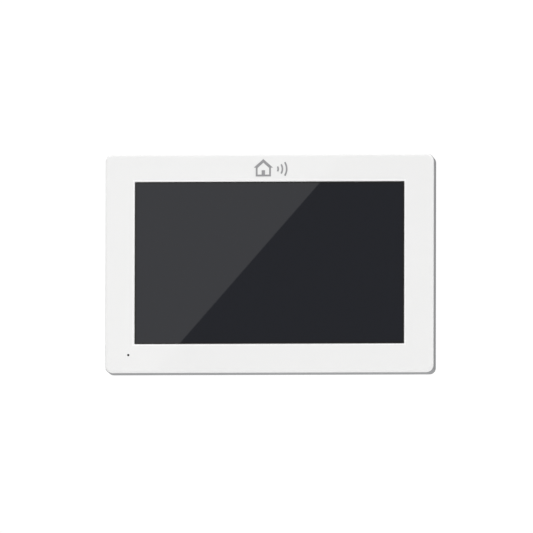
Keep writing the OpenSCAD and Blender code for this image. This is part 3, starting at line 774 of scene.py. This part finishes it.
THREAD = 0.42 * MM


def threads(tree, along):
    """The round backs of threads side by side, from 0 to 1."""
    turn = times(tree, along, math.pi / THREAD)
    return math_node(tree, "ABSOLUTE", math_node(tree, "SINE", turn))


tree, shader = new_finish("speaker_weave", (0.03, 0.03, 0.03), 0.85, specular=0.3)
x, y, z = place_xyz(tree)
over = times(tree, threads(tree, x), threads(tree, z))
feed(shader, base_color=mix_colour(tree, over, (0.006, 0.006, 0.006), (0.06, 0.06, 0.062)))
bump(shader, over, 90)
print("soft finishes added, total", len(finishes))

# %% [markdown]
# ## The blank rating label
#
# A real label carries a maker's text. This one is left blank apart from the
# ruled table that the text would stand in, which is drawn from the label's own
# height and width: a frame, and rows ruled at an even pitch.

# %% The label's paper
label_low, label_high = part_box("rear_label")
LABEL_MARGIN = 2.0 * MM
RULE = 0.18 * MM
ROWS = 8
COLUMN_WIDTH = 12 * MM
tree, shader = new_finish("ruled_label", (0.78, 0.785, 0.78), 0.4)
x, y, z = place_xyz(tree)
middle = (label_high + label_low) / 2
half_width = (label_high.x - label_low.x) / 2 - LABEL_MARGIN
half_height = (label_high.z - label_low.z) / 2 - LABEL_MARGIN
inside = in_rectangle(tree, middle, half_width, half_height)
core = in_rectangle(tree, middle, half_width - RULE, half_height - RULE)
border = math_node(tree, "SUBTRACT", inside, core)
row_pitch = 2 * half_height / ROWS
above = math_node(tree, "SUBTRACT", z, label_low.z + LABEL_MARGIN)
rows = stripes(tree, above, row_pitch, RULE / row_pitch)
column = stripes(tree, math_node(tree, "SUBTRACT", x, label_low.x + COLUMN_WIDTH), 1.0, RULE)
ruled = times(tree, core, math_node(tree, "MAXIMUM", rows, column))
ink = math_node(tree, "MAXIMUM", border, ruled)
skin = use(tree, "surface_grain", grain_size=0.12 * MM, patch_size=8 * MM)
paper = mix_colour(tree, skin["Patches"], (0.77, 0.772, 0.765), (0.8, 0.802, 0.8))
feed(shader, base_color=mix_colour(tree, ink, paper, (0.08, 0.08, 0.08)))
bump(shader, skin["Grain"], 4)
print("all finishes:", len(finishes))

# %% [markdown]
# ## Softened edges
#
# A moulded or stamped edge is never knife sharp, and the thin highlight along
# it makes an object look real. The CAD nodes stay as they are, so each visible
# one gets a finished copy that stands for it. Four small tools come first: they
# merge loose triangles, make flat faces whole, turn modifiers into plain mesh,
# and shade smoothly between sharp edges.

# %% Tools for clean meshes
def welded(node):
    """The node's mesh, open for editing, with its loose triangles merged."""
    work = bmesh.new()
    work.from_mesh(nodes[node].data)
    bmesh.ops.remove_doubles(work, verts=work.verts, dist=0.002 * MM)
    return work


def merged_copy(node):
    """A clean mesh with the node's shape."""
    work = welded(node)
    bmesh.ops.dissolve_limit(
        work, angle_limit=math.radians(0.5), verts=work.verts, edges=work.edges)
    mesh = bpy.data.meshes.new(node + "_clean")
    work.to_mesh(mesh)
    work.free()
    return mesh


def apply_modifiers(piece):
    """Turns the evaluated piece into a plain mesh and removes its modifiers."""
    evaluated = piece.evaluated_get(bpy.context.evaluated_depsgraph_get())
    mesh = bpy.data.meshes.new_from_object(evaluated)
    piece.modifiers.clear()
    piece.data = mesh


def smooth_by_angle(piece, degrees=38):
    """Smooth shading, with edges sharper than the angle left sharp."""
    piece.data.shade_smooth()
    piece.data.set_sharp_from_angle(angle=math.radians(degrees))


print("mesh tools ready")

# %% [markdown]
# ## Standing in for a node
#
# A finished piece rides on the same body as its CAD node and hides that node,
# so that the assembly still moves as designed.


def stand_in(piece, node, finish):
    """The piece takes the node's place and body, hides the node, and gets its finish."""
    piece.data.materials.clear()
    piece.data.materials.append(finishes[finish])
    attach(piece, nodes[node]["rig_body"])
    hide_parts(node)
    print(f"{piece.name:20s} {len(piece.data.polygons):6d} faces")


# %% [markdown]
# ## Rounding the edges
#
# A Bevel modifier rounds the edges by a real radius, and weighted normals keep
# the flat faces flat in the shading. Mouldings have the larger radii, and sheet
# metal and film the smaller ones.

# %% Copies with rounded edges
def softened(node, name, finish, width):
    """A copy of the node with its edges rounded by width, in mm."""
    piece = add_object(name, merged_copy(node))
    bevel = piece.modifiers.new("edges", "BEVEL")
    bevel.width = width * MM
    bevel.segments = 2
    bevel.limit_method = "ANGLE"
    bevel.angle_limit = math.radians(35)
    apply_modifiers(piece)
    smooth_by_angle(piece)
    piece.modifiers.new("normals", "WEIGHTED_NORMAL").keep_sharp = True
    apply_modifiers(piece)
    stand_in(piece, node, finish)
    return piece


SOFTENED = [
    # node, piece, finish, edge radius in mm
    ("front_cover", "cover_frame", "cover_white", 0.12),
    ("rear_housing", "housing_tub", "housing_grey", 0.22),
    ("touch_glass", "cover_pane", "cover_glass", 0.15),
    ("wall_bracket", "hook_plate", "galvanised_steel", 0.22),
    ("wall_pads", "rubber_discs", "pad_rubber", 0.25),
    ("rear_label", "label_sheet", "ruled_label", 0.03),
    ("wiring_headers", "header_shrouds", "ivory_nylon", 0.1),
    ("power_knob", "slider_cap", "switch_black", 0.08),
    ("power_switch", "slide_switch_body", "switch_black", 0.1),
    ("reset_plunger", "reset_pin", "plunger_white", 0.12),
    ("reset_switch", "reset_switch_body", "switch_black", 0.1),
    ("card_socket", "card_cage", "tinned_can", 0.08),
    ("main_board", "circuit_board", "solder_resist", 0.06),
    ("processor_shield", "processor_can", "tinned_can", 0.25),
    ("radio_module", "radio_can", "tinned_can", 0.15),
    ("board_chips", "chip_packages", "chip_epoxy", 0.08),
    ("power_coils", "coil_blocks", "pressed_ferrite", 0.5),
    ("power_capacitors", "capacitor_cans", "satin_aluminium", 0.25),
    ("flex_sockets", "ribbon_sockets", "ivory_nylon", 0.1),
    ("lead_sockets", "lead_plugs", "ivory_nylon", 0.2),
    ("chassis_plate", "clamp_plate", "stamped_steel", 0.12),
    ("display_bezel", "bezel_frame", "stamped_steel", 0.08),
    ("speaker_basket", "speaker_frame", "basket_black", 0.1),
    ("speaker_magnet", "speaker_yoke", "magnet_yoke", 0.3),
    ("microphone", "microphone_can", "satin_aluminium", 0.15),
    ("microphone_boot", "microphone_sleeve", "boot_rubber_and_hole_shade", 0.1),
]
pieces = {}
for node, name, finish, width in SOFTENED:
    pieces[name] = softened(node, name, finish, width)

# %% [markdown]
# ## The microphone's sound hole
#
# Behind the small hole in the cover's lower left corner sits the microphone in
# its black rubber sleeve, and black felt keeps dust out of the microphone's can.
# The hole looks black in the white cover, and this shade is painted: the faces
# of the hole's wall get the black rubber, and the can's front the felt, as a
# second material.

# %% Paint shade into the sound hole
HOLE_FROM_CORNER = Vector((13.2 * MM, 0, 10 * MM))
HOLE_REACH = 0.82 * MM
hole = cover_low + HOLE_FROM_CORNER


def repaint(piece, finish, wanted):
    """Gives the piece's faces that pass the test a second material."""
    piece.data.materials.append(finishes[finish])
    chosen = [face for face in piece.data.polygons if wanted(face)]
    for face in chosen:
        face.material_index = 1
    print(f"{piece.name}: {len(chosen)} faces in {finish}")


def shaded_hole_wall(face):
    """True on the wall and the rounded rim of the sound hole, where shade is painted."""
    away = math.hypot(face.center.x - hole.x, face.center.z - hole.z)
    return away < HOLE_REACH and abs(face.normal.y) < 0.95


# The black on the cover's hole wall is painted shade; the felt is the can's own dust cover.
repaint(pieces["cover_frame"], "boot_rubber_and_hole_shade", shaded_hole_wall)
repaint(pieces["microphone_can"], "black_felt", lambda face: face.normal.y < -0.9)

# %% [markdown]
# ## Screws and pins with Geometry Nodes
#
# The screws are one shape repeated, so one tree makes them all, and a second
# tree makes the header pins. Both begin with a group that takes a mesh of
# points and some named sizes, and both move and join small meshes.

# %% Helpers for geometry trees
def geometry_tree(name, inputs):
    """A Geometry Nodes tree that takes a mesh of points and the named inputs."""
    tree = bpy.data.node_groups.new(name, "GeometryNodeTree")
    tree.interface.new_socket("Points", in_out="INPUT", socket_type="NodeSocketGeometry")
    for socket, (kind, value) in inputs.items():
        made = tree.interface.new_socket(socket, in_out="INPUT", socket_type=kind)
        if value is not None:
            made.default_value = value
    tree.interface.new_socket("Geometry", in_out="OUTPUT", socket_type="NodeSocketGeometry")
    return tree, put(tree, "NodeGroupInput").outputs, put(tree, "NodeGroupOutput").inputs


def vector(tree, x=0.0, y=0.0, z=0.0):
    """A vector from three numbers or outputs."""
    return put(tree, "ShaderNodeCombineXYZ", {0: x, 1: y, 2: z}).outputs[0]


def raised(tree, mesh, by):
    """The mesh, moved along z."""
    return put(tree, "GeometryNodeTransform", {
        "Geometry": mesh, "Translation": vector(tree, z=by)}).outputs[0]


def joined(tree, *meshes):
    """Several meshes in one."""
    join = put(tree, "GeometryNodeJoinGeometry")
    for mesh in meshes:
        tree.links.new(mesh, join.inputs[0])
    return join.outputs[0]


def finish_tree(tree, instances, given, wanted):
    """Makes the instances real, sets the given material and ends the tree."""
    real = put(tree, "GeometryNodeRealizeInstances", {0: instances}).outputs[0]
    done = put(tree, "GeometryNodeSetMaterial", {
        "Geometry": real, "Material": given["Material"]}).outputs[0]
    tree.links.new(done, wanted["Geometry"])
    print(f"{tree.name}: {len(tree.nodes)} nodes")


# %% [markdown]
# ## The pan head
#
# The head is a low cylinder. Its top is domed by letting every point sag with
# the fourth power of its distance from the middle, which keeps the middle flat
# and turns the rim down.

# %% The head of a screw
FLOAT = "NodeSocketFloat"
HEAD_SIDES = 40
DOME_SHARE = 0.32
DOME_POWER = 4.0
tree, given, wanted = geometry_tree("cross_head_screws", {
    "Head Radius": (FLOAT, 0.0028), "Head Height": (FLOAT, 0.002),
    "Shank Radius": (FLOAT, 0.00145), "Shank Length": (FLOAT, 0.01),
    "Facing": ("NodeSocketRotation", None), "Seed": ("NodeSocketInt", 3),
    "Material": ("NodeSocketMaterial", None)})
radius, head_height = given["Head Radius"], given["Head Height"]
head = put(tree, "GeometryNodeMeshCylinder", {
    "Vertices": HEAD_SIDES, "Side Segments": 2, "Fill Segments": 6, "Radius": radius,
    "Depth": head_height}).outputs["Mesh"]
head = raised(tree, head, times(tree, head_height, 0.5))
px, py, pz = put(tree, "ShaderNodeSeparateXYZ", {
    0: put(tree, "GeometryNodeInputPosition").outputs[0]}).outputs
reach = math_node(tree, "SQRT", math_node(
    tree, "ADD", times(tree, px, px), times(tree, py, py)))
share = math_node(tree, "DIVIDE", reach, radius)
sag = times(tree, math_node(tree, "POWER", share, DOME_POWER), head_height)
sag = times(tree, sag, -DOME_SHARE)
is_top = math_node(tree, "GREATER_THAN", pz, times(tree, head_height, 0.75))
head = put(tree, "GeometryNodeSetPosition", {
    "Geometry": head, "Selection": is_top, "Offset": vector(tree, z=sag)}).outputs[0]
print("the head takes", len(tree.nodes), "nodes")

# %% [markdown]
# ## The recess and the shank
#
# Two crossed bars are cut out of the head with a boolean, and a plain rod is
# joined on below it. The rod runs inside the bosses, so it needs no thread.

# %% The recess and the shank of a screw
RECESS_SHARE = 0.62
ARM_LENGTH_SHARE = 1.15
ARM_WIDTH_SHARE = 0.24
SHANK_SIDES = 20
arm_length = times(tree, radius, ARM_LENGTH_SHARE)
arm_width = times(tree, radius, ARM_WIDTH_SHARE)
arm_depth = times(tree, head_height, RECESS_SHARE * 2)
cut = put(tree, "GeometryNodeMeshBoolean", {"Mesh 1": head}, operation="DIFFERENCE",
          solver="EXACT")
for width, depth in ((arm_length, arm_width), (arm_width, arm_length)):
    bar = put(tree, "GeometryNodeMeshCube", {
        "Size": vector(tree, width, depth, arm_depth)}).outputs["Mesh"]
    arm = raised(tree, bar, head_height)
    tree.links.new(arm, cut.inputs["Mesh 2"])
shank = put(tree, "GeometryNodeMeshCylinder", {
    "Vertices": SHANK_SIDES, "Radius": given["Shank Radius"],
    "Depth": given["Shank Length"]}).outputs["Mesh"]
half_length = times(tree, given["Shank Length"], -0.5)
shank = raised(tree, shank, half_length)
screw = joined(tree, cut.outputs["Mesh"], shank)
print("the screw takes", len(tree.nodes), "nodes")

# %% [markdown]
# ## One screw on every point
#
# Each screw is turned by its own random angle from a fixed seed, because no one
# lines them up. The tree ends by making the instances real, since an export
# drops instances, and by setting the material.

# %% Spread the screws
spread = put(tree, "GeometryNodeInstanceOnPoints", {
    "Points": given["Points"], "Instance": screw, "Rotation": given["Facing"]}).outputs[0]
angle = put(tree, "FunctionNodeRandomValue", {
    2: 0.0, 3: math.pi, "Seed": given["Seed"]}, data_type="FLOAT")
turn = put(tree, "FunctionNodeEulerToRotation", {
    0: vector(tree, z=angle.outputs[1])}).outputs[0]
turned = put(tree, "GeometryNodeRotateInstances", {
    "Instances": spread, "Rotation": turn, "Local Space": True}).outputs[0]
finish_tree(tree, turned, given, wanted)

# %% [markdown]
# ## Placing the screws
#
# The points come from the frame. Each CAD screw node is a group of separate
# solids, so its mesh is split into islands. The middle of each gives a screw's
# place across the panel, and its depth gives the head's seat and the shank's
# length.

# %% Grow the screws
def islands(node):
    """The boxes (low, high) of a node's separate solids."""
    work = welded(node)
    left = set(work.verts)
    found = []
    while left:
        group = [left.pop()]
        for vert in group:
            for edge in vert.link_edges:
                other = edge.other_vert(vert)
                if other in left:
                    left.remove(other)
                    group.append(other)
        found.append(([min(v.co[i] for v in group) for i in range(3)],
                      [max(v.co[i] for v in group) for i in range(3)]))
    work.free()
    return sorted(found)


def grow(name, group, points, values):
    """Runs a geometry tree on points and keeps the result as a plain mesh."""
    piece = mesh_object(name, points)
    modifier = piece.modifiers.new("grow", "NODES")
    modifier.node_group = bpy.data.node_groups[group]
    for item in modifier.node_group.interface.items_tree:
        if item.in_out == "INPUT" and item.name in values:
            modifier[item.identifier] = values[item.name]
    apply_modifiers(piece)
    smooth_by_angle(piece)
    return piece


TOWARDS_WALL = Euler((math.radians(-90), 0, 0))
TOWARDS_ROOM = Euler((math.radians(90), 0, 0))


def grow_screws(node, name, head_height, facing, shank_radius, seed):
    """Screws for every solid of a CAD node, heads towards the wall or the room."""
    boxes = islands(node)
    points = []
    for low, high in boxes:
        seat = high[1] - head_height if facing == TOWARDS_WALL else low[1] + head_height
        points.append(((low[0] + high[0]) / 2, seat, (low[2] + high[2]) / 2))
    low, high = boxes[0]
    piece = grow(name, "cross_head_screws", points, {
        "Head Radius": (high[0] - low[0]) / 2, "Head Height": head_height,
        "Shank Radius": shank_radius, "Shank Length": high[1] - low[1] - head_height,
        "Facing": facing, "Seed": seed, "Material": finishes["screw_zinc"]})
    stand_in(piece, node, "screw_zinc")


grow_screws("housing_screws", "case_screws", 2.0 * MM, TOWARDS_WALL, 1.45 * MM, 11)
grow_screws("chassis_screws", "clamp_screws", 1.6 * MM, TOWARDS_WALL, 1.3 * MM, 12)
grow_screws("board_screws", "circuit_screws", 1.5 * MM, TOWARDS_WALL, 1.25 * MM, 13)
grow_screws("speaker_screws", "washer_screws", 1.8 * MM, TOWARDS_ROOM, 0.9 * MM, 14)

# %% [markdown]
# ## Header pins
#
# Each header holds a row of square pins with tapered tips. A second, smaller
# tree puts one pin on each point: a square bar with a short pyramid on its end.
# Both are cones with four sides, turned so that their sides face along the row.

# %% The pin tree
TIP_SHARE = 0.45
tree, given, wanted = geometry_tree("tapered_pins", {
    "Pin Radius": (FLOAT, 0.00045), "Pin Length": (FLOAT, 0.0044), "Tip Length": (FLOAT, 0.0006),
    "Facing": ("NodeSocketRotation", None), "Material": ("NodeSocketMaterial", None)})
bar_length = math_node(tree, "SUBTRACT", given["Pin Length"], given["Tip Length"])
bar = put(tree, "GeometryNodeMeshCone", {
    "Vertices": 4, "Radius Top": given["Pin Radius"], "Radius Bottom": given["Pin Radius"],
    "Depth": bar_length}).outputs["Mesh"]
tip = put(tree, "GeometryNodeMeshCone", {
    "Vertices": 4, "Radius Top": times(tree, given["Pin Radius"], TIP_SHARE),
    "Radius Bottom": given["Pin Radius"], "Depth": given["Tip Length"]}).outputs["Mesh"]
pin = joined(tree, bar, raised(tree, tip, bar_length))
pin = put(tree, "GeometryNodeTransform", {
    "Geometry": pin, "Rotation": (0, 0, math.radians(45))}).outputs[0]
spread = put(tree, "GeometryNodeInstanceOnPoints", {
    "Points": given["Points"], "Instance": pin, "Rotation": given["Facing"]}).outputs[0]
finish_tree(tree, spread, given, wanted)

# %% [markdown]
# ## Placing the pins
#
# The CAD node holds two kinds of bar: the long pins that the plugs push on to,
# and the short tails that come out of the board's other side. Which is which
# follows from how near to the wall they reach.

# %% Grow the pins
def grow_pins(name, boxes, facing, tip_length):
    """Pins for the boxes, with their tips towards the wall or the room."""
    low, high = boxes[0]
    foot = low[1] if facing == TOWARDS_WALL else high[1]
    points = [((low[0] + high[0]) / 2, foot, (low[2] + high[2]) / 2) for low, high in boxes]
    piece = grow(name, "tapered_pins", points, {
        "Pin Radius": (high[0] - low[0]) / math.sqrt(2), "Pin Length": high[1] - low[1],
        "Tip Length": tip_length, "Facing": facing, "Material": finishes["tin_plate"]})
    stand_in(piece, "header_pins", "tin_plate")


pin_boxes = islands("header_pins")
TAIL_SETBACK = 1 * MM
plug_side = max(high[1] for low, high in pin_boxes) - TAIL_SETBACK
grow_pins("front_pins", [b for b in pin_boxes if b[1][1] > plug_side], TOWARDS_WALL, 0.7 * MM)
grow_pins("tail_pins", [b for b in pin_boxes if b[1][1] <= plug_side], TOWARDS_ROOM, 0.3 * MM)

# %% [markdown]
# ## Finishes for the nodes that keep their CAD shape
#
# Thin films, foam frames, leads and the printed badge are already right as the
# CAD drew them. They only need their material.

# %% Dress the remaining nodes
KEPT = {
    "front_badge": "badge_ink", "glass_tape": "black_foam", "touch_sensor": "sensor_film",
    "touch_flex": "touch_ribbon", "display_gasket": "black_foam",
    "display_cell": "display_polariser", "display_backlight": "light_guide_white",
    "display_flex": "display_ribbon", "microphone_lead": "lead_vinyl",
    "speaker_cloth": "speaker_weave", "speaker_gasket": "black_foam",
    "speaker_cone": "cone_paper", "speaker_lead": "lead_vinyl",
    "radio_antenna": "aerial_film", "antenna_lead": "coax_jacket",
}
for node, finish in KEPT.items():
    for slot in nodes[node].material_slots:
        slot.material = finishes[finish]
print("dressed in place:", len(KEPT))
